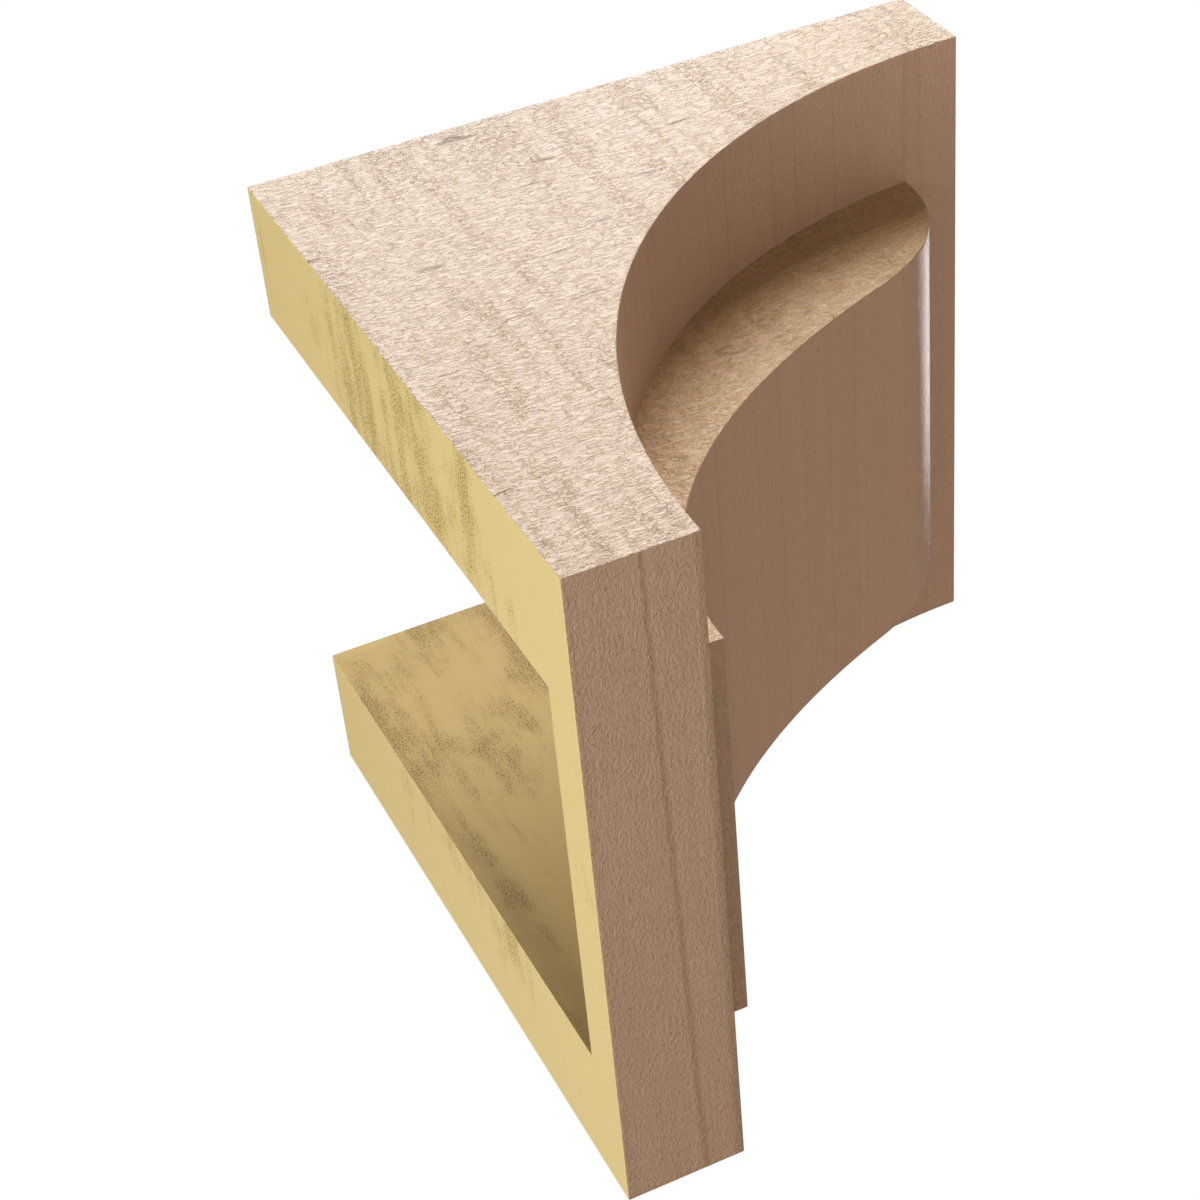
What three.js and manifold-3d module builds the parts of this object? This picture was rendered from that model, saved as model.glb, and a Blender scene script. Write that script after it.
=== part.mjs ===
// A hollow corbel cast in one piece, as wide as it is deep and high.
// Two coved cheeks stand either side of a raised ogee panel. Behind the panel a pocket,
// open at the back and the top, slips over a block fixed to the wall.
// Millimetres, +Z up, +X to the right seen from the front, the wall behind at +Y.
// The origin is on the wall face, in the middle of the rail that closes the pocket below.
import * as THREE from "three";
import { mergeVertices } from "three/addons/utils/BufferGeometryUtils.js";
import Module from "manifold-3d";

// Driving dimensions
const SIDE = 254; // width, projection and height alike
const CHEEK_WIDTH = 50.8; // each cheek, measured across the front
const WALL = 19.05; // rail below the pocket and wall in front of it
const FASCIA_HEIGHT = 38.1; // upright front face under the top
const FOOT_DEPTH = 42.3; // how far the cheeks stand out at the underside
const PANEL_NOSE_SETBACK = 21.8; // panel's nose, behind the fascia
const PANEL_FOOT_RISE = 13; // panel's foot, above the underside
const PANEL_FOOT_DEPTH = 53.1; // how far the panel's foot stands out

// The ogee turns from round nose to hollow cove at this point and slope
const OGEE_TURN_OUT = 185.5;
const OGEE_TURN_DROP = 98.4; // below the top
const OGEE_TURN_SLOPE = THREE.MathUtils.degToRad(68.7); // from upright, outward as it rises

// How far each curve holds its end direction, as Bezier handles
const COVE_TOP_PULL = 122;
const COVE_FOOT_PULL = 123;
const NOSE_PULL = 32;
const NOSE_TURN_PULL = 29.5;
const HOLLOW_TURN_PULL = 64;
const HOLLOW_FOOT_PULL = 75;

const COVE_STEPS = 48;
const NOSE_STEPS = 18;
const HOLLOW_STEPS = 36;
const OVERRUN = 5; // a cutting solid runs this far past the face it opens

const PANEL_WIDTH = SIDE - 2 * CHEEK_WIDTH;
const RAIL_CENTRE = WALL / 2;

const PRIMED_TAN = new THREE.MeshStandardMaterial({ color: 0xc9a98c, roughness: 0.8, metalness: 0 });

const { Manifold, Mesh: SolidMesh } = await loadSolids();

async function loadSolids() {
  const wasm = await Module();
  wasm.setup();
  return wasm;
}

// Profiles are drawn in side view: x is the distance out from the wall, y the height above the underside.
const point = (out, up) => new THREE.Vector2(out, up);

// The hollow front edge of a cheek, from the bottom of the fascia to the front of the foot
function cheekCove() {
  const top = SIDE - FASCIA_HEIGHT;
  return new THREE.CubicBezierCurve(
    point(SIDE, top),
    point(SIDE - COVE_TOP_PULL, top),
    point(FOOT_DEPTH, COVE_FOOT_PULL),
    point(FOOT_DEPTH, 0),
  );
}

// The ogee front edge of the raised panel: a round nose, then a hollow running down to the panel's foot
function panelOgee() {
  const noseOut = SIDE - PANEL_NOSE_SETBACK;
  const noseTop = SIDE - FASCIA_HEIGHT;
  const turn = point(OGEE_TURN_OUT, SIDE - OGEE_TURN_DROP);
  const downTheTurn = point(-Math.sin(OGEE_TURN_SLOPE), -Math.cos(OGEE_TURN_SLOPE));
  const nose = new THREE.CubicBezierCurve(
    point(noseOut, noseTop),
    point(noseOut, noseTop - NOSE_PULL),
    turn.clone().addScaledVector(downTheTurn, -NOSE_TURN_PULL),
    turn,
  );
  const hollow = new THREE.CubicBezierCurve(
    turn,
    turn.clone().addScaledVector(downTheTurn, HOLLOW_TURN_PULL),
    point(PANEL_FOOT_DEPTH, PANEL_FOOT_RISE + HOLLOW_FOOT_PULL),
    point(PANEL_FOOT_DEPTH, PANEL_FOOT_RISE),
  );
  return [...nose.getPoints(NOSE_STEPS), ...hollow.getPoints(HOLLOW_STEPS).slice(1)];
}

// The whole block, side view: wall, top, fascia, cove and underside
function blockProfile() {
  return new THREE.Shape([
    point(0, 0),
    ...cheekCove().getPoints(COVE_STEPS).reverse(),
    point(SIDE, SIDE),
    point(0, SIDE),
  ]);
}

// The panel, side view. Its back is buried in the block, its head in the solid under the fascia.
function panelProfile() {
  const ogee = panelOgee();
  const head = point(ogee[0].x, ogee[0].y + FASCIA_HEIGHT / 2);
  return new THREE.Shape([point(WALL, PANEL_FOOT_RISE), ...ogee.reverse(), head, point(WALL, head.y)]);
}

// The pocket, side view: one wall thickness behind the cheeks' cove and fascia, and above the rail
function pocketProfile() {
  const cove = cheekCove();
  const frontOut = SIDE - WALL;
  const front = [];
  for (let step = 0; step <= COVE_STEPS; step += 1) {
    const along = step / COVE_STEPS;
    const tangent = cove.getTangent(along);
    const inward = point(tangent.y, -tangent.x);
    const place = cove.getPoint(along).addScaledVector(inward, WALL);
    if (place.x < frontOut && place.y > WALL) front.push(place);
  }
  const first = front[0];
  const last = front[front.length - 1];
  return new THREE.Shape([
    point(-OVERRUN, WALL),
    point(last.x, WALL),
    ...front.reverse(),
    point(frontOut, first.y),
    point(frontOut, SIDE + OVERRUN),
    point(-OVERRUN, SIDE + OVERRUN),
  ]);
}

// A profile run straight across the corbel, centred on its middle plane
function runAcross(profile, width) {
  const geometry = new THREE.ExtrudeGeometry(profile, { depth: width, bevelEnabled: false });
  return geometry.translate(0, 0, -width / 2);
}

function toSolid(geometry) {
  geometry.deleteAttribute("normal");
  geometry.deleteAttribute("uv");
  const merged = mergeVertices(geometry, 1e-4);
  const vertProperties = new Float32Array(merged.attributes.position.array);
  const triVerts = new Uint32Array(merged.index.array);
  return new Manifold(new SolidMesh({ numProp: 3, vertProperties, triVerts }));
}

function toGeometry(solid) {
  const mesh = solid.getMesh();
  const geometry = new THREE.BufferGeometry();
  geometry.setAttribute("position", new THREE.BufferAttribute(mesh.vertProperties, mesh.numProp));
  geometry.setIndex(new THREE.BufferAttribute(mesh.triVerts, 1));
  geometry.computeVertexNormals();
  return geometry;
}

function makeCorbel() {
  const block = toSolid(runAcross(blockProfile(), SIDE));
  const panel = toSolid(runAcross(panelProfile(), PANEL_WIDTH));
  const pocket = toSolid(runAcross(pocketProfile(), PANEL_WIDTH));
  const corbel = new THREE.Mesh(toGeometry(block.add(panel).subtract(pocket)), PRIMED_TAN);
  corbel.name = "corbel";
  // Side view to standing frame: out from the wall is -Y, up is +Z
  corbel.rotation.set(Math.PI / 2, 0, -Math.PI / 2, "ZYX");
  corbel.position.z = -RAIL_CENTRE;
  return corbel;
}

const part = new THREE.Group();
part.add(makeCorbel());

export default part;
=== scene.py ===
# A hollow corbel of moulded polyurethane: a primed skin with rough-sawn grain, bare foam behind.
# The casting is drawn from its side view, meshed finely, and given its sawn relief by geometry nodes.
import math

import bmesh
import bpy
import numpy as np
from mathutils import Matrix, Vector, geometry
from mathutils.kdtree import KDTree


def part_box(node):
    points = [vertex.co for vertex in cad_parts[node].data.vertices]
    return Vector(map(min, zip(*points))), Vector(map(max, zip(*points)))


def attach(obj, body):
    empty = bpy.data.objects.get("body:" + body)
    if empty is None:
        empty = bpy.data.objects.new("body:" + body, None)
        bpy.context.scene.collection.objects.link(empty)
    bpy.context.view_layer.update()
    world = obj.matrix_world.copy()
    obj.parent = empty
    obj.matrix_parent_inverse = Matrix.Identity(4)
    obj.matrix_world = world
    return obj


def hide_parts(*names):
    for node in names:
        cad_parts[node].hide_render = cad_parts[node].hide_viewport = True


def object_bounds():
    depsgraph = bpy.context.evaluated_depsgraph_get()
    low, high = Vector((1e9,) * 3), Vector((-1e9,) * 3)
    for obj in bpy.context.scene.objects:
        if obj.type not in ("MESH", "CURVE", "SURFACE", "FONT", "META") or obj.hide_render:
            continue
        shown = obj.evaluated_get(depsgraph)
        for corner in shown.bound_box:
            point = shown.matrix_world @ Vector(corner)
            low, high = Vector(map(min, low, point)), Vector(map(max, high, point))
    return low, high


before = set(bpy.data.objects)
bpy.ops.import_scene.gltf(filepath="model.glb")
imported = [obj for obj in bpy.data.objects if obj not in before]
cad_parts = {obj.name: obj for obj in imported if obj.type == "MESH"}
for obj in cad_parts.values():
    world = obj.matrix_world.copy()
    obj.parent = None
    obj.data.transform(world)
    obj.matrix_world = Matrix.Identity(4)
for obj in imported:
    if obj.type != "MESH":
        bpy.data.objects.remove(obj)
cad_low, cad_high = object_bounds()

MM = 0.001

# Sizes of the casting, as its solid has them
LOW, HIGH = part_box("corbel")
SIDE = HIGH.z - LOW.z
CHEEK_WIDTH = 50.8 * MM
WALL = 19.05 * MM
FASCIA_HEIGHT = 38.1 * MM
FOOT_DEPTH = 42.3 * MM
NOSE_SETBACK = 21.8 * MM
PANEL_FOOT_RISE = 13 * MM
PANEL_FOOT_DEPTH = 53.1 * MM
OGEE_TURN = np.array((185.5, 254 - 98.4)) * MM
OGEE_SLOPE = math.radians(68.7)
COVE_PULLS = (122 * MM, 123 * MM)
NOSE_PULLS = (32 * MM, 29.5 * MM)
HOLLOW_PULLS = (64 * MM, 75 * MM)
PANEL_EDGE = SIDE / 2 - CHEEK_WIDTH

# Mesh spacing, finest across the grain where the sawn relief turns fastest
ACROSS_STEP = 1.35 * MM
ALONG_STEP = 2.6 * MM
FOAM_STEP = 4.5 * MM
EDGE_RADIUS = 0.25 * MM
EDGE_FADE = 2.5 * MM
EDGE_ANGLE = math.radians(35)
WELD = 0.005 * MM
CURVE_SAMPLES = 400

# How strongly a surface shows the sawn grain
SAWN_FLAT = 1.0
SAWN_COVE = 0.4
SAWN_PANEL = 0.30
SAWN_TOP = 0.6

# How far a face shows drawn-out fibres, from 0 for pebbles to 1, and how short the end grain's are
CROSSCUT_LEDGE = 0.7
END_GRAIN_SHORTENING = 1.3

# How the grain wanders, and the depth that its bumps are drawn to
SWAY_SIZE = 7 * MM
SWAY_REACH = 1.4 * MM
GRAIN_DEPTH = 0.7 * MM

# The relief sunk into the sawn faces
RELIEF = {
    "Fibre length": 14 * MM,
    "Fibre width": 4.5 * MM,
    "Fibre depth": 0.12 * MM,
    "Swell length": 60 * MM,
    "Swell width": 18 * MM,
    "Swell depth": 0.15 * MM,
    "Seed": 7.0,
}


def linear(hex_colour):
    """An sRGB hex colour as linear red, green, blue and alpha."""
    parts = [int(hex_colour[i:i + 2], 16) / 255 for i in (0, 2, 4)]
    return [c / 12.92 if c <= 0.04045 else ((c + 0.055) / 1.055) ** 2.4 for c in parts] + [1.0]


def add(tree, kind, inputs=None, **settings):
    """Adds a node with its settings. An input that is a socket is linked, any other is set."""
    node = tree.nodes.new(kind)
    for name, value in settings.items():
        setattr(node, name, value)
    for key, value in (inputs or {}).items():
        if isinstance(value, bpy.types.NodeSocket):
            tree.links.new(value, node.inputs[key])
        else:
            node.inputs[key].default_value = value
    return node


# Side view: x is the distance out from the wall, y the height above the underside

def bezier(start, start_handle, end_handle, end):
    t = np.linspace(0, 1, CURVE_SAMPLES)[:, None]
    points = [np.asarray(p, float) for p in (start, start_handle, end_handle, end)]
    weights = ((1 - t) ** 3, 3 * t * (1 - t) ** 2, 3 * t ** 2 * (1 - t), t ** 3)
    return sum(w * p for w, p in zip(weights, points))


def lengths(points):
    """How far along a line each of its points lies."""
    return np.concatenate([[0], np.cumsum(np.linalg.norm(np.diff(points, axis=0), axis=1))])


def even(points, step):
    """The same line, with its points about one step apart."""
    points = np.asarray(points, float)
    reach = lengths(points)
    places = np.linspace(0, reach[-1], max(1, round(reach[-1] / step)) + 1)
    return np.stack([np.interp(places, reach, points[:, i]) for i in (0, 1)], axis=1)


def cheek_cove():
    top = SIDE - FASCIA_HEIGHT
    return bezier(
        (SIDE, top), (SIDE - COVE_PULLS[0], top), (FOOT_DEPTH, COVE_PULLS[1]), (FOOT_DEPTH, 0)
    )


def panel_ogee(nose_top):
    """From the nose, where it leaves the cove, round and down to the panel's foot."""
    down = np.array((-math.sin(OGEE_SLOPE), -math.cos(OGEE_SLOPE)))
    head = np.array((SIDE - NOSE_SETBACK, SIDE - FASCIA_HEIGHT))
    foot = np.array((PANEL_FOOT_DEPTH, PANEL_FOOT_RISE))
    nose = bezier(
        head, head - (0, NOSE_PULLS[0]), OGEE_TURN - NOSE_PULLS[1] * down, OGEE_TURN
    )
    hollow = bezier(
        OGEE_TURN, OGEE_TURN + HOLLOW_PULLS[0] * down, foot + (0, HOLLOW_PULLS[1]), foot
    )
    line = np.concatenate([nose, hollow[1:]])
    below = line[line[:, 1] < nose_top[1]]
    return np.concatenate([[nose_top], below])


def pocket_front(cove):
    """One wall thickness behind the cove, between the rail and the fascia's back."""
    tangent = np.gradient(cove, axis=0)
    tangent /= np.linalg.norm(tangent, axis=1)[:, None]
    line = cove + WALL * np.stack([tangent[:, 1], -tangent[:, 0]], axis=1)
    line = line[(line[:, 0] < SIDE - WALL) & (line[:, 1] > WALL)]
    ends = (line[-1, 0], WALL), (SIDE - WALL, line[0, 1])
    return np.concatenate([ends[:1], line[::-1], ends[1:]])


def side_view():
    """Every stretch of the outline, by name, with evenly spaced points."""
    cove = cheek_cove()
    nose_out = SIDE - NOSE_SETBACK
    nose_top = np.array((nose_out, np.interp(nose_out, cove[::-1, 0], cove[::-1, 1])))
    foot_back = np.array((np.interp(PANEL_FOOT_RISE, cove[::-1, 1], cove[::-1, 0]), PANEL_FOOT_RISE))
    head = cove[cove[:, 0] > nose_out]
    foot = cove[cove[:, 1] < PANEL_FOOT_RISE]
    middle = cove[(cove[:, 0] < nose_out) & (cove[:, 1] > PANEL_FOOT_RISE)]
    front = pocket_front(cove)
    panel_foot = (PANEL_FOOT_DEPTH, PANEL_FOOT_RISE)
    fine = {
        "rail back": [(0, 0), (0, WALL)],
        "cheek back": [(0, WALL), (0, SIDE)],
        "cheek top": [(0, SIDE), (SIDE - WALL, SIDE)],
        "head top": [(SIDE - WALL, SIDE), (SIDE, SIDE)],
        "fascia": [(SIDE, SIDE), (SIDE, SIDE - FASCIA_HEIGHT)],
        "cove head": np.concatenate([head, [nose_top]]),
        "cove": np.concatenate([[nose_top], middle, [foot_back]]),
        "cove foot": np.concatenate([[foot_back], foot]),
        "underside": [(FOOT_DEPTH, 0), (0, 0)],
        "ogee": panel_ogee(nose_top),
        "panel foot": [panel_foot, foot_back],
    }
    coarse = {
        "rail top": [(0, WALL), front[0]],
        "pocket front": front,
        "pocket head": [front[-1], (SIDE - WALL, SIDE)],
    }
    runs = {name: even(line, ACROSS_STEP) for name, line in fine.items()}
    runs.update({name: even(line, FOAM_STEP) for name, line in coarse.items()})
    return runs


FOAM_RUNS = ("rail back", "cheek back", "rail top", "pocket front", "pocket head")
POCKET_RUNS = ("rail top", "pocket front", "pocket head")
SAWN_RUNS = {
    "cove head": SAWN_COVE, "cove": SAWN_COVE, "cove foot": SAWN_COVE, "ogee": SAWN_PANEL,
    "cheek top": SAWN_TOP, "head top": SAWN_TOP, "fascia": SAWN_TOP,
}
CROSSCUT_RUNS = ("cheek top", "head top", "fascia")
END_GRAIN_RUNS = ("underside", "panel foot")
CHEEK_RUNS = ("cheek back", "cheek top", "cove")
MIDDLE_RUNS = ("rail top", "pocket front", "pocket head", "ogee", "panel foot")
WHOLE_RUNS = ("rail back", "head top", "fascia", "cove head", "cove foot", "underside")
CHEEK_LOOP = (
    "rail back", "cheek back", "cheek top", "head top", "fascia", "cove head", "cove", "cove foot",
    "underside",
)
PANEL_SIDE_LOOP = ("ogee", "panel foot", "cove")
POCKET_SIDE_LOOP = ("rail top", "pocket front", "pocket head", "cheek top", "cheek back")


def standing(across, side):
    """Points of the side view, at these distances across, in the standing frame."""
    return np.stack([across, -side[:, 0], side[:, 1] + LOW.z], axis=1)


def swept(run, xs, girth):
    """A stretch of the side view run across the corbel, with its grain along X."""
    rows, columns = len(run), len(xs)
    across = np.tile(xs, rows)
    side = np.repeat(run, columns, axis=0)
    corner = (np.arange(rows - 1)[:, None] * columns + np.arange(columns - 1)).ravel()
    faces = np.stack([corner, corner + 1, corner + columns + 1, corner + columns], axis=1)
    grain = np.stack([across, np.repeat(girth + lengths(run), columns)], axis=1)
    return standing(across, side), faces.tolist(), grain


def closed_loop(runs, names):
    """The named stretches joined end to end, each turned round where it has to be."""
    loop = list(runs[names[0]])
    for name in names[1:]:
        line = runs[name]
        if np.linalg.norm(line[0] - loop[-1]) > np.linalg.norm(line[-1] - loop[-1]):
            line = line[::-1]
        loop.extend(line[1:])
    return np.array(loop[:-1])


def inside(points, loop):
    """Which points lie within a closed loop."""
    x, y = points[:, :1], points[:, 1:]
    x1, y1 = loop[:, 0], loop[:, 1]
    x2, y2 = np.roll(x1, -1), np.roll(y1, -1)
    rises = np.where(y2 == y1, 1e-12, y2 - y1)
    crossed = ((y1 > y) != (y2 > y)) & (x < (x2 - x1) * (y - y1) / rises + x1)
    return crossed.sum(axis=1) % 2 == 1


def flat(loop, x, steps):
    """A flat face within a loop of the side view, filled with points a step apart, grain along Y."""
    low, high = loop.min(axis=0), loop.max(axis=0)
    columns = np.arange(low[0], high[0], steps[0])
    rows = np.arange(low[1], high[1], steps[1])
    grid = np.stack(np.meshgrid(columns, rows), axis=2)
    grid[::2, :, 0] += steps[0] / 2
    grid = grid.reshape(-1, 2)
    grid = grid[inside(grid, loop)]
    rim = KDTree(len(loop))
    for index, (out, up) in enumerate(loop):
        rim.insert((out, up, 0), index)
    rim.balance()
    clear = min(steps) * 0.8
    grid = np.array([p for p in grid if rim.find((p[0], p[1], 0))[2] > clear])
    stretch = np.array(steps) / min(steps)
    places = np.concatenate([loop, grid]) / stretch
    count = len(loop)
    edges = [(i, (i + 1) % count) for i in range(count)]
    made = geometry.delaunay_2d_cdt([Vector(p) for p in places], edges, [], 1, 1e-9)
    side = np.array([tuple(p) for p in made[0]]) * stretch
    return standing(np.full(len(side), x), side), [list(f) for f in made[2]], side


def corbel_surface():
    """The casting's whole surface as one closed mesh, before its edges are eased."""
    runs = side_view()
    cheek_xs = np.linspace(PANEL_EDGE, SIDE / 2, round(CHEEK_WIDTH / ALONG_STEP) + 1)
    panel_xs = np.linspace(-PANEL_EDGE, PANEL_EDGE, round(2 * PANEL_EDGE / ALONG_STEP) + 1)
    whole_xs = np.concatenate([-cheek_xs[::-1], panel_xs[1:-1], cheek_xs])
    spans = {name: (-cheek_xs[::-1], cheek_xs) for name in CHEEK_RUNS}
    spans.update({name: (panel_xs,) for name in MIDDLE_RUNS})
    spans.update({name: (whole_xs,) for name in WHOLE_RUNS})

    patches = []
    girth = 0
    for name, run in runs.items():
        sawn = SAWN_RUNS.get(name, SAWN_FLAT)
        shorten = END_GRAIN_SHORTENING if name in END_GRAIN_RUNS else 1
        # Whether it is bare foam, whether it lies in the pocket where the foam is painted darker as shade,
        # how sawn it is, and if it is crosscut
        finish = name in FOAM_RUNS, name in POCKET_RUNS, sawn, name in CROSSCUT_RUNS
        for xs in spans[name]:
            places, corners, grain = swept(run, xs, girth)
            patches.append(((places, corners, grain * (shorten, 1)), finish))
        girth += lengths(run)[-1]
    flats = (
        # The second value of each finish marks painted light: shade on the pocket's foam, warm light on the
        # panel's sides
        (CHEEK_LOOP, SIDE / 2, (ALONG_STEP, ACROSS_STEP), (False, 0.0, SAWN_FLAT, 1.0)),
        (PANEL_SIDE_LOOP, PANEL_EDGE, (ALONG_STEP, ACROSS_STEP), (False, 1.0, SAWN_FLAT, CROSSCUT_LEDGE)),
        (POCKET_SIDE_LOOP, PANEL_EDGE, (FOAM_STEP, FOAM_STEP), (True, 1.0, SAWN_FLAT, 1.0)),
    )
    for names, x, steps, finish in flats:
        loop = closed_loop(runs, names)
        for place in (-x, x):
            places, corners, grain = flat(loop, place, steps)
            if finish[0]:
                grain = grain[:, ::-1]
            patches.append(((places, corners, grain + (0, girth)), finish))
            girth += SIDE

    points, faces, grain, looks = [], [], [], []
    start = 0
    for (places, corners, along), look in patches:
        points.append(places)
        faces.extend([[start + c for c in face] for face in corners])
        grain.append(along[[c for face in corners for c in face]])
        looks.extend([look] * len(corners))
        start += len(places)

    mesh = bpy.data.meshes.new("corbel_surface")
    mesh.from_pydata(np.concatenate(points).tolist(), [], faces)
    mesh.uv_layers.new(name="grain").data.foreach_set("uv", np.concatenate(grain).ravel())
    for name, values in zip(("foam", "painted_light_zone", "sawn", "crosscut"), zip(*looks)):
        kind = "BOOLEAN" if name == "foam" else "FLOAT"
        mesh.attributes.new(name, kind, "FACE").data.foreach_set("value", values)
    work = bmesh.new()
    work.from_mesh(mesh)
    bmesh.ops.remove_doubles(work, verts=work.verts, dist=WELD)
    bmesh.ops.recalc_face_normals(work, faces=work.faces)
    work.to_mesh(mesh)
    work.free()
    return mesh


def evaluated_mesh(piece, name):
    """A piece's mesh with its modifiers in it, as a plain mesh."""
    graph = bpy.context.evaluated_depsgraph_get()
    mesh = bpy.data.meshes.new_from_object(
        piece.evaluated_get(graph), preserve_all_data_layers=True, depsgraph=graph
    )
    mesh.name = name
    return mesh


def note_edges(mesh, edge_places):
    """Stores on each point how far the relief may show, from nothing on an edge to all of it inside."""
    tree = KDTree(len(edge_places))
    for index, place in enumerate(edge_places):
        tree.insert(place, index)
    tree.balance()
    fade = [min(1.0, tree.find(v.co)[2] / EDGE_FADE) for v in mesh.vertices]
    mesh.attributes.new("inset", "FLOAT", "POINT").data.foreach_set("value", fade)


def sawn_relief(skin, foam):
    """A geometry node tree that sinks the sawn grain into the skin, along the stored grain directions."""
    tree = bpy.data.node_groups.new("sawn_relief", "GeometryNodeTree")
    face = tree.interface
    face.new_socket("Geometry", in_out="INPUT", socket_type="NodeSocketGeometry")
    for name in RELIEF:
        face.new_socket(name, in_out="INPUT", socket_type="NodeSocketFloat")
    face.new_socket("Geometry", in_out="OUTPUT", socket_type="NodeSocketGeometry")
    inputs = add(tree, "NodeGroupInput").outputs
    grain = add(tree, "GeometryNodeInputNamedAttribute", {"Name": "grain"}, data_type="FLOAT_VECTOR")
    split = add(tree, "ShaderNodeSeparateXYZ", {0: grain.outputs[0]}).outputs
    inset = add(tree, "GeometryNodeInputNamedAttribute", {"Name": "inset"}, data_type="FLOAT")
    sawn = add(tree, "GeometryNodeInputNamedAttribute", {"Name": "sawn"}, data_type="FLOAT")
    bare = add(tree, "GeometryNodeInputNamedAttribute", {"Name": "foam"}, data_type="BOOLEAN")
    depth = None
    for form, detail in (("Fibre", 2.0), ("Swell", 1.0)):
        u = add(tree, "ShaderNodeMath", {0: split["X"], 1: inputs[f"{form} length"]}, operation="DIVIDE")
        v = add(tree, "ShaderNodeMath", {0: split["Y"], 1: inputs[f"{form} width"]}, operation="DIVIDE")
        place = add(
            tree, "ShaderNodeCombineXYZ", {"X": u.outputs[0], "Y": v.outputs[0], "Z": inputs["Seed"]}
        )
        noise = add(
            tree, "ShaderNodeTexNoise",
            {"Vector": place.outputs[0], "Scale": 1.0, "Detail": detail, "Distortion": 0.4},
        )
        part = add(
            tree, "ShaderNodeMath", {0: noise.outputs[0], 1: inputs[f"{form} depth"]}, operation="MULTIPLY"
        )
        if depth is None:
            depth = part.outputs[0]
        else:
            depth = add(tree, "ShaderNodeMath", {0: depth, 1: part.outputs[0]}, operation="ADD").outputs[0]
    skin_only = add(tree, "ShaderNodeMath", {0: 1.0, 1: bare.outputs[0]}, operation="SUBTRACT")
    for factor in (inset, sawn, skin_only):
        depth = add(
            tree, "ShaderNodeMath", {0: depth, 1: factor.outputs[0]}, operation="MULTIPLY"
        ).outputs[0]
    sink = add(tree, "ShaderNodeMath", {0: depth, 1: -1.0}, operation="MULTIPLY")
    normal = add(tree, "GeometryNodeInputNormal")
    offset = add(
        tree, "ShaderNodeVectorMath", {0: normal.outputs[0], "Scale": sink.outputs[0]}, operation="SCALE"
    )
    moved = add(
        tree, "GeometryNodeSetPosition", {"Geometry": inputs["Geometry"], "Offset": offset.outputs[0]}
    )
    whole = add(tree, "GeometryNodeRealizeInstances", {"Geometry": moved.outputs[0]})
    skinned = add(tree, "GeometryNodeSetMaterial", {"Geometry": whole.outputs[0], "Material": skin})
    backed = add(
        tree, "GeometryNodeSetMaterial",
        {"Geometry": skinned.outputs[0], "Selection": bare.outputs[0], "Material": foam},
    )
    add(tree, "NodeGroupOutput", {"Geometry": backed.outputs[0]})
    return tree


def new_material(name):
    """An empty material: its node tree and its surface shader."""
    material = bpy.data.materials.new(name)
    material.use_nodes = True
    return material, material.node_tree, material.node_tree.nodes["Principled BSDF"]


def add_patterns(tree, sizes):
    """One noise for each row of sizes, stretched along a grain that wanders a little. In millimetres."""
    grain = add(tree, "ShaderNodeUVMap", uv_map="grain").outputs[0]
    sway = add(
        tree, "ShaderNodeTexNoise", {"Vector": grain, "Scale": 1 / SWAY_SIZE, "Detail": 2.0},
        noise_dimensions="2D",
    ).outputs["Color"]
    sway = add(tree, "ShaderNodeVectorMath", {0: sway, 1: (0.5, 0.5, 0.5)}, operation="SUBTRACT").outputs[0]
    grain = add(
        tree, "ShaderNodeVectorMath", {0: sway, 1: (SWAY_REACH, SWAY_REACH, 0), 2: grain},
        operation="MULTIPLY_ADD",
    ).outputs[0]
    made = {}
    for name, along, across, detail in sizes:
        place = add(
            tree, "ShaderNodeMapping",
            {"Vector": grain, "Scale": (1 / (along * MM), 1 / (across * MM), 1)},
        )
        made[name] = add(
            tree, "ShaderNodeTexNoise",
            {"Vector": place.outputs[0], "Scale": 1.0, "Detail": detail, "Roughness": 0.7},
            noise_dimensions="2D",
        ).outputs["Fac"]
    return made


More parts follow.
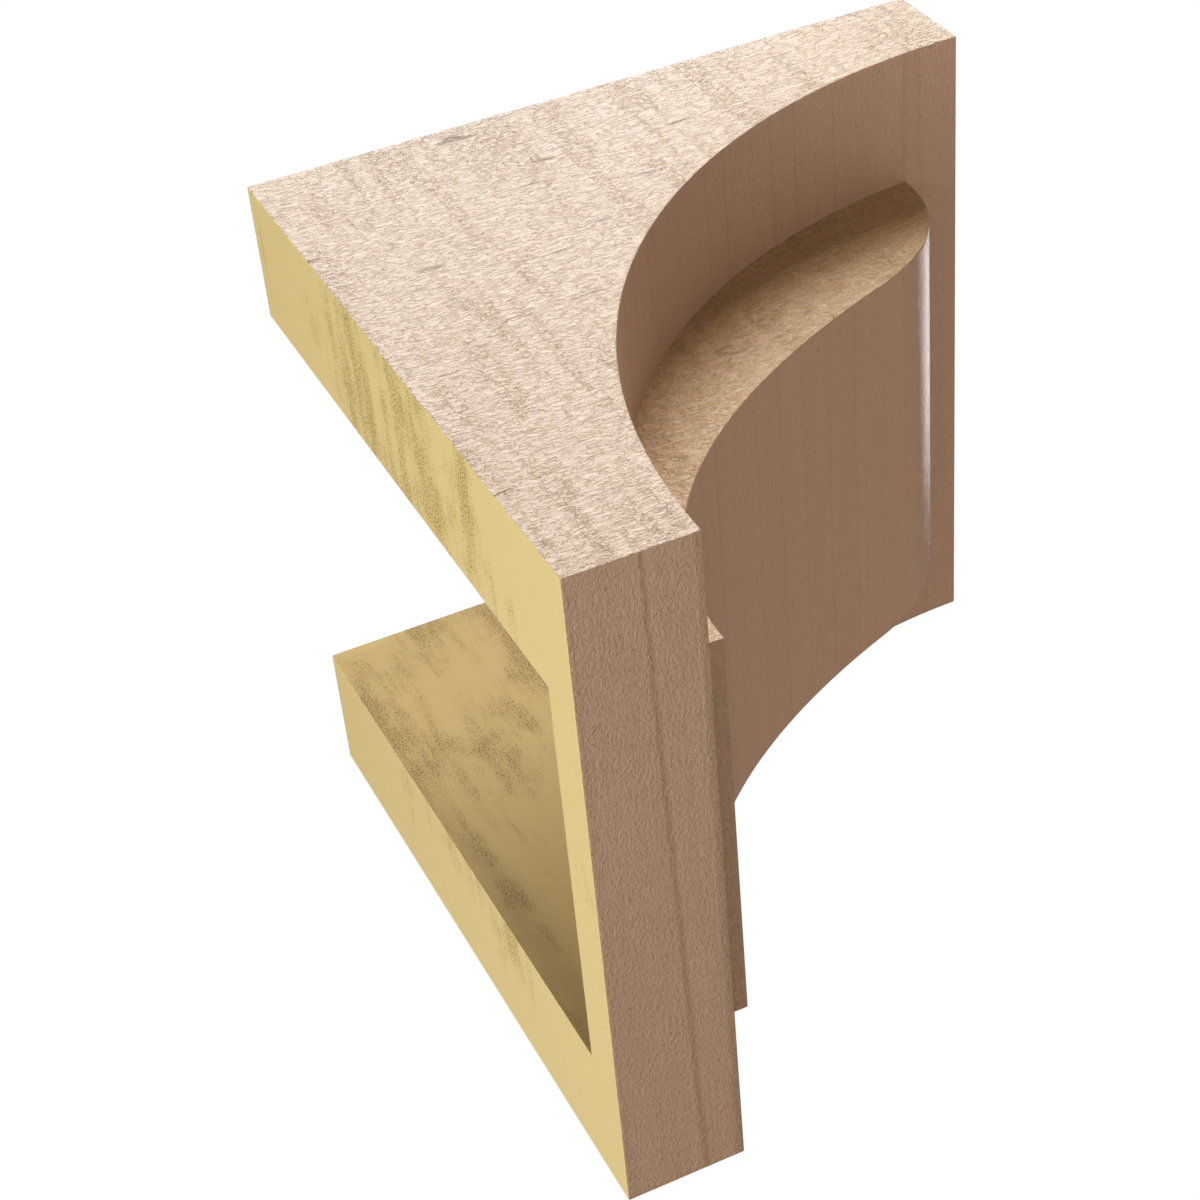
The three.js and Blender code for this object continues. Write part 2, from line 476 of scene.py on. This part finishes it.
def primed_timber_skin():
    """Tan primer on moulded polyurethane: matte, with a soft sheen on the ridges of its sawn grain."""
    material, tree, shader = new_material("primed_rough_sawn_polyurethane")
    sawn = add(tree, "ShaderNodeAttribute", attribute_name="sawn").outputs["Fac"]
    crosscut = add(tree, "ShaderNodeAttribute", attribute_name="crosscut").outputs["Fac"]
    painted_light_zone = add(tree, "ShaderNodeAttribute", attribute_name="painted_light_zone").outputs["Fac"]
    # Real fibres are a fraction of a millimetre wide; here they are as coarse as they need to be to show
    noise = add_patterns(tree, (
        ("fibre", 3.5, 1.35, 3.0),
        ("fibre place", 4.5, 2.7, 1.0),
        ("pebble", 2.5, 1.15, 3.0),
        ("curl", 4.0, 3.2, 2.0),
        ("torn", 10, 90, 1.0),
        ("wave", 12, 4.0, 2.0),
        ("tone", 120, 20, 3.0),
        ("split", 600, 26, 1.0),
        ("split place", 22, 10, 1.0),
        ("groove", 4000, 30, 0.0),
        ("crack", 20, 400, 1.0),
        ("crack place", 10, 18, 1.0),
        ("speck", 2.6, 1.8, 1.0),
        ("streak", 110, 1.8, 2.0),
        ("ledge grain", 1.5, 1.1, 2.0),
    ))

    marks = {}
    # Places where a noise is high
    for name, start, end in (
        ("fibre place", 0.32, 0.54),
        ("torn", 0.52, 0.60),
        ("split place", 0.64, 0.72),
        ("crack place", 0.66, 0.74),
        ("speck", 0.74, 0.80),
    ):
        marks[name] = add(
            tree, "ShaderNodeMapRange",
            {"Value": noise[name], "From Min": start, "From Max": end}, interpolation_type="SMOOTHSTEP",
        ).outputs[0]
    for name in ("fibre place", "torn", "split place", "crack place"):
        marks[name] = add(
            tree, "ShaderNodeMath", {0: marks[name], 1: crosscut}, operation="MULTIPLY"
        ).outputs[0]
    marks["groove place"] = add(
        tree, "ShaderNodeMath", {0: 1.0, 1: crosscut}, operation="SUBTRACT"
    ).outputs[0]
    # Thin lines where a noise passes its middle value, each kind in its own places
    for name, width, place in (
        ("fibre", 0.05, "fibre place"),
        ("curl", 0.045, "torn"),
        ("split", 0.018, "split place"),
        ("crack", 0.022, "crack place"),
        ("groove", 0.020, "groove place"),
    ):
        off = add(tree, "ShaderNodeMath", {0: noise[name], 1: 0.5}, operation="SUBTRACT").outputs[0]
        off = add(tree, "ShaderNodeMath", {0: off}, operation="ABSOLUTE").outputs[0]
        line = add(
            tree, "ShaderNodeMapRange",
            {"Value": off, "From Min": 0.0, "From Max": width, "To Min": 1.0, "To Max": 0.0},
            interpolation_type="SMOOTHSTEP",
        ).outputs[0]
        line = add(tree, "ShaderNodeMath", {0: line, 1: marks[place]}, operation="MULTIPLY").outputs[0]
        marks[name] = add(tree, "ShaderNodeMath", {0: line, 1: sawn}, operation="MULTIPLY").outputs[0]

    colour = add(
        tree, "ShaderNodeMixRGB",
        {"Fac": noise["tone"], "Color1": linear("be987a"), "Color2": linear("c6a182")},
    ).outputs["Color"]
    # Painted light: the panel's sides are tinted yellower and darker, standing in for warm key light there
    # with no sheen on them
    ledge_painted_light = add(
        tree, "ShaderNodeMixRGB",
        {"Fac": noise["ledge grain"], "Color1": linear("9a7144"), "Color2": linear("d2a97b")},
    ).outputs["Color"]
    colour = add(
        tree, "ShaderNodeMixRGB", {"Fac": painted_light_zone, "Color1": colour, "Color2": ledge_painted_light}
    ).outputs["Color"]
    # Painted light: the less sawn faces, the panel and cove most, are tinted redder, standing in for warm
    # light bounced onto them
    smooth = add(tree, "ShaderNodeMath", {0: 1.0, 1: sawn}, operation="SUBTRACT").outputs[0]
    for amount, strength, shade in (
        (smooth, 0.34, "c08372"),
        (noise["streak"], 0.26, "9c7759"),
        # These dark lines are partly the grain's own colour and partly painted shade in the creases that
        # the bump sinks
        (marks["fibre"], 0.90, "94661e"),
        (marks["curl"], 0.60, "8a5c1c"),
        (marks["crack"], 0.45, "865f2c"),
        (marks["split"], 0.80, "74491c"),
        (marks["groove"], 0.30, "7a5836"),
        (marks["speck"], 0.40, "6a4d38"),
    ):
        fade = add(tree, "ShaderNodeMath", {0: amount, 1: strength}, operation="MULTIPLY").outputs[0]
        colour = add(
            tree, "ShaderNodeMixRGB", {"Fac": fade, "Color1": colour, "Color2": linear(shade)}
        ).outputs["Color"]
    tree.links.new(colour, shader.inputs["Base Color"])

    curls = add(tree, "ShaderNodeMath", {0: noise["curl"], 1: marks["torn"]}, operation="MULTIPLY")
    height = add(tree, "ShaderNodeMath", {0: noise["wave"], 1: 0.18}, operation="MULTIPLY").outputs[0]
    # Drawn-out fibres where the grain runs along the face, pebbles where it runs into it
    pebble = add(tree, "ShaderNodeMath", {0: noise["pebble"], 1: 1.2}, operation="MULTIPLY").outputs[0]
    body = add(
        tree, "ShaderNodeMix", {"Factor": crosscut, "A": pebble, "B": noise["fibre"]}
    ).outputs[0]
    for amount, depth in (
        (body, 1.5), (curls.outputs[0], 0.45), (marks["fibre"], -0.20), (marks["curl"], -0.22),
        (marks["split"], -0.30), (marks["crack"], -0.15), (marks["groove"], -0.40), (noise["streak"], -0.3),
    ):
        height = add(
            tree, "ShaderNodeMath", {0: amount, 1: depth, 2: height}, operation="MULTIPLY_ADD"
        ).outputs[0]
    bump = add(
        tree, "ShaderNodeBump", {"Strength": sawn, "Distance": GRAIN_DEPTH, "Height": height}
    )
    tree.links.new(bump.outputs[0], shader.inputs["Normal"])
    rough = add(
        tree, "ShaderNodeMapRange",
        {"Value": sawn, "From Min": SAWN_PANEL, "From Max": SAWN_COVE, "To Min": 0.23, "To Max": 0.44},
    )
    tree.links.new(rough.outputs[0], shader.inputs["Roughness"])
    shader.inputs["IOR"].default_value = 1.5
    return material


def bare_foam():
    """Rigid polyurethane foam as it leaves the mould: smooth, yellow, with olive flecks in bands; inside
    the pocket it is painted darker as shade.
    """
    material, tree, shader = new_material("bare_polyurethane_foam")
    painted_light_zone = add(tree, "ShaderNodeAttribute", attribute_name="painted_light_zone").outputs["Fac"]
    # Foam cells are finer than the flecks, which are drawn as coarse as they need to be to show
    noise = add_patterns(tree, (
        ("fleck", 0.9, 0.65, 2.0),
        ("band", 150, 12, 4.0),
        ("cloud", 40, 26, 3.0),
    ))

    # The back is flecked most at mid height, the pocket near its open top and along the back, where the
    # pocket is also painted darker as shade
    place = add(tree, "ShaderNodeTexCoord").outputs["Object"]
    axes = add(tree, "ShaderNodeSeparateXYZ", {0: place}).outputs
    spread = {}
    for name, axis, start, end in (
        ("above rail", "Z", 15, 75), ("below top", "Z", 205, 150), ("near side", "X", 110, 70),
        ("pocket top", "Z", 60, 190), ("pocket back", "Y", -22, -2),
    ):
        spread[name] = add(
            tree, "ShaderNodeMapRange",
            {"Value": axes[axis], "From Min": start * MM, "From Max": end * MM},
            interpolation_type="SMOOTHSTEP",
        ).outputs[0]
    back = spread["above rail"]
    for name in ("below top", "near side"):
        back = add(tree, "ShaderNodeMath", {0: back, 1: spread[name]}, operation="MULTIPLY").outputs[0]
    pocket = add(
        tree, "ShaderNodeMath", {0: spread["pocket top"], 1: spread["pocket back"]}, operation="MAXIMUM"
    ).outputs[0]
    dense = add(tree, "ShaderNodeMix", {"Factor": painted_light_zone, "A": back, "B": pocket}).outputs[0]

    band = add(
        tree, "ShaderNodeMath", {0: noise["band"], 1: noise["cloud"]}, operation="ADD"
    ).outputs[0]
    band = add(
        tree, "ShaderNodeMath", {0: dense, 1: 0.34, 2: band}, operation="MULTIPLY_ADD"
    ).outputs[0]
    band = add(
        tree, "ShaderNodeMapRange", {"Value": band, "From Min": 1.12, "From Max": 1.56},
        interpolation_type="SMOOTHSTEP",
    ).outputs[0]
    fleck = add(
        tree, "ShaderNodeMath", {0: band, 1: 0.20, 2: noise["fleck"]}, operation="MULTIPLY_ADD"
    ).outputs[0]
    fleck = add(
        tree, "ShaderNodeMapRange", {"Value": fleck, "From Min": 0.67, "From Max": 0.80},
        interpolation_type="SMOOTHSTEP",
    ).outputs[0]
    # Painted shade: the pocket darkens further near its open top and along the back
    pocket_shade = add(tree, "ShaderNodeMath", {0: dense, 1: painted_light_zone}, operation="MULTIPLY").outputs[0]
    pocket_shade = add(tree, "ShaderNodeMath", {0: pocket_shade, 1: 0.55}, operation="MULTIPLY").outputs[0]
    band_tint_and_shade = add(tree, "ShaderNodeMath", {0: band, 1: 0.25, 2: pocket_shade}, operation="MULTIPLY_ADD").outputs[0]
    colour = None
    # Each shaded colour is a darker copy of the outside one, painted as shade inside the pocket
    for amount, outside, shaded in (
        (None, "e4ca89", "b6945a"), (band_tint_and_shade, "c2aa62", "8a6a3c"), (fleck, "977c3f", "6e5020"),
    ):
        shade = add(
            tree, "ShaderNodeMixRGB", {"Fac": painted_light_zone, "Color1": linear(outside), "Color2": linear(shaded)}
        ).outputs["Color"]
        if amount is None:
            colour = shade
        else:
            colour = add(
                tree, "ShaderNodeMixRGB", {"Fac": amount, "Color1": colour, "Color2": shade}
            ).outputs["Color"]
    tree.links.new(colour, shader.inputs["Base Color"])
    shader.inputs["Roughness"].default_value = 0.8
    shader.inputs["Specular IOR Level"].default_value = 0.25
    shader.inputs["IOR"].default_value = 1.5
    return material


def ease_edges(mesh):
    """Rounds the outside corners a little, keeps the inside ones sharp, and gives where they all lay."""
    work = bmesh.new()
    work.from_mesh(mesh)
    outside = [e for e in work.edges if e.calc_face_angle_signed(0) > EDGE_ANGLE]
    inside_corners = [e for e in work.edges if e.calc_face_angle_signed(0) < -EDGE_ANGLE]
    places = [v.co.copy() for e in outside + inside_corners for v in e.verts]
    for edge in inside_corners:
        edge.smooth = False
    bmesh.ops.bevel(
        work, geom=outside, offset=EDGE_RADIUS, offset_type="OFFSET", segments=2, profile=0.5,
        affect="EDGES", clamp_overlap=True, material=-1,
    )
    work.to_mesh(mesh)
    work.free()
    return places


def make_corbel():
    mesh = corbel_surface()
    note_edges(mesh, ease_edges(mesh))
    piece = bpy.data.objects.new("corbel_casting", mesh)
    bpy.context.scene.collection.objects.link(piece)
    relief = piece.modifiers.new("sawn relief", "NODES")
    relief.node_group = sawn_relief(primed_timber_skin(), bare_foam())
    for socket in relief.node_group.interface.items_tree:
        if socket.name in RELIEF:
            relief[socket.identifier] = RELIEF[socket.name]
    finished = evaluated_mesh(piece, "corbel_casting")
    piece.modifiers.clear()
    piece.data = finished
    finished.shade_smooth()
    return piece


corbel = make_corbel()
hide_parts("corbel")
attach(corbel, "root")

# Camera, below and behind the corbel and turned on its side
CAMERA_PLACE = Vector((-548.4, 198.4, -532.2)) * MM
CAMERA_FORWARD = Vector((0.60941, -0.29463, 0.73608))
CAMERA_UP = Vector((-0.78891, -0.31781, 0.52594))
camera = bpy.data.objects.new("camera", bpy.data.cameras.new("camera"))
camera.data.sensor_width = 36
camera.data.lens = 79.03
right = CAMERA_FORWARD.cross(CAMERA_UP).normalized()
up = right.cross(CAMERA_FORWARD).normalized()
turn = Matrix((right, up, -CAMERA_FORWARD.normalized())).transposed()
camera.matrix_world = Matrix.Translation(CAMERA_PLACE) @ turn.to_4x4()
bpy.context.scene.collection.objects.link(camera)
bpy.context.scene.camera = camera

# Soft studio light
MIDDLE = (cad_low + cad_high) / 2
for name, direction, distance, size, watts, colour in (
    ("key", (-0.75, -0.36, 0.556), 2.2, 0.95, 44.0, "fff6e6"),
    ("sheen", (-0.65, -0.19, 0.74), 2.6, 1.8, 128.0, "c6e8ff"),
    ("fill behind", (-0.22, 0.91, -0.34), 1.5, 0.8, 15.6, "fafcff"),
    ("fill right", (0.9, 0.0, 0.43), 2.0, 1.4, 26.0, "fffaf2"),
    ("rim", (0.49, -0.645, 0.585), 2.0, 0.3, 1.25, "f8f2f4"),
    ("front", (0.62, -0.78, 0.05), 2.2, 1.6, 2.8, "ffc890"),
):
    lamp = bpy.data.lights.new(name, "AREA")
    lamp.size = size
    lamp.energy = watts
    lamp.color = linear(colour)[:3]
    light = bpy.data.objects.new(name, lamp)
    light.location = MIDDLE + Vector(direction).normalized() * distance
    light.rotation_euler = Vector(direction).to_track_quat("Z", "Y").to_euler()
    light.visible_camera = False
    bpy.context.scene.collection.objects.link(light)

world = bpy.data.worlds.new("studio")
world.use_nodes = True
bpy.context.scene.world = world
backdrop = world.node_tree.nodes["Background"]
backdrop.inputs["Color"].default_value = (1, 1, 1, 1)
path = add(world.node_tree, "ShaderNodeLightPath")
level = add(
    world.node_tree, "ShaderNodeMapRange",
    {"Value": path.outputs["Is Camera Ray"], "To Min": 0.15, "To Max": 1.0},
)
world.node_tree.links.new(level.outputs[0], backdrop.inputs["Strength"])
bpy.context.scene.view_settings.view_transform = "Standard"

# A pale floor, far enough below for the camera to stand above it
FLOOR_DROP = 1.2
FLOOR_REACH = 3.0
floor_mesh = bpy.data.meshes.new("floor")
floor_mesh.from_pydata(
    [(x * FLOOR_REACH, y * FLOOR_REACH, -FLOOR_DROP) for x, y in ((-1, -1), (1, -1), (1, 1), (-1, 1))],
    [], [(0, 1, 2, 3)],
)
floor = bpy.data.objects.new("floor", floor_mesh)
bpy.context.scene.collection.objects.link(floor)
floor_material, _, floor_shader = new_material("pale_floor")
floor_shader.inputs["Base Color"].default_value = linear("c4b8ae")
floor_shader.inputs["Roughness"].default_value = 0.9
floor_mesh.materials.append(floor_material)
